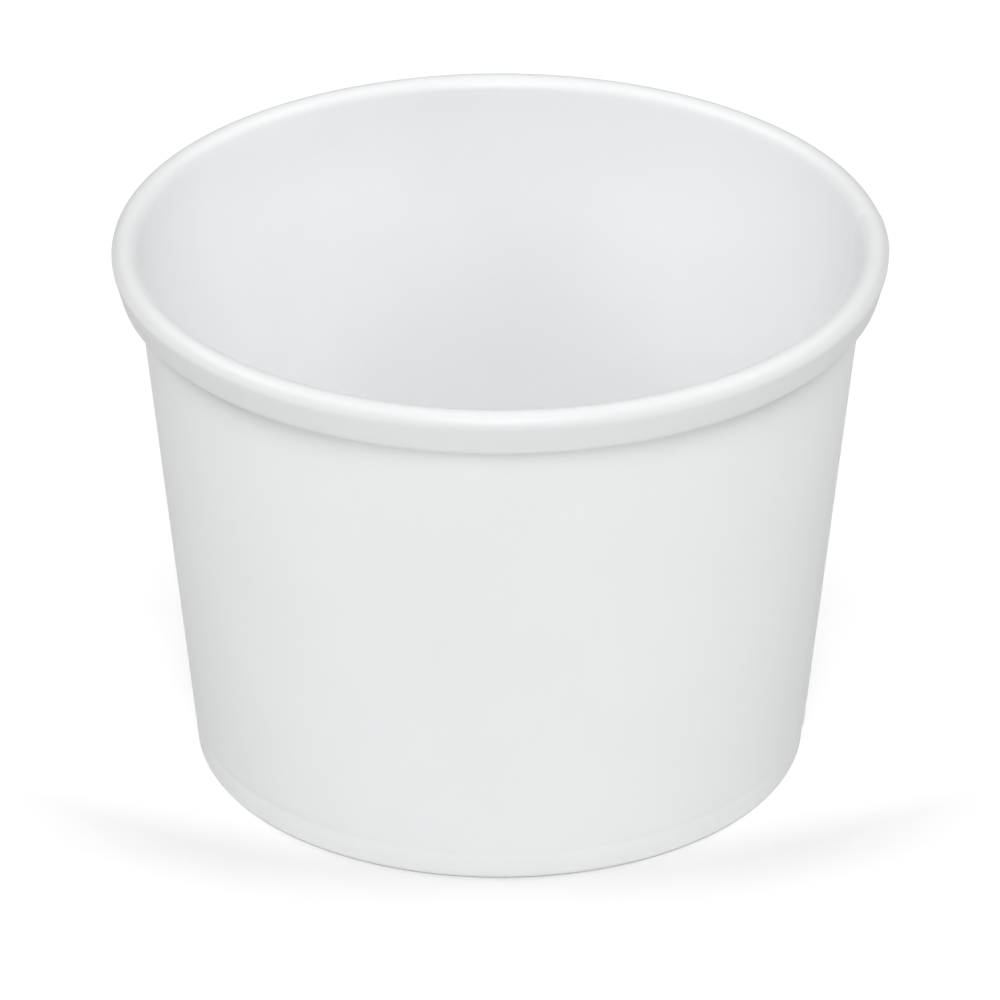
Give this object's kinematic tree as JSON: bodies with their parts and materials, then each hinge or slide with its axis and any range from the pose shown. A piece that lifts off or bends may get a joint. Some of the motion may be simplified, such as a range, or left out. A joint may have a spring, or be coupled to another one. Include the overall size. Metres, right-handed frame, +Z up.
{
  "type": "paper sundae cup",
  "caption": "Plain white tapered paper cup for ice cream sundaes, with a rolled rim, a lapped side seam and a recessed base held in the folded foot.",
  "frame": {"origin": "on the cup's axis, on the surface the foot stands on", "axes": "+Z up along the cup's axis, +X through the edge of the outer sheet at the lapped seam"},
  "size_m": [0.09, 0.09, 0.065],
  "materials": {
    "wall_board": "satin",
    "base_board": "satin"
  },
  "bodies": {
    "root": {"side_wall": "wall_board", "base_disc": "base_board"}
  },
  "joints": []
}
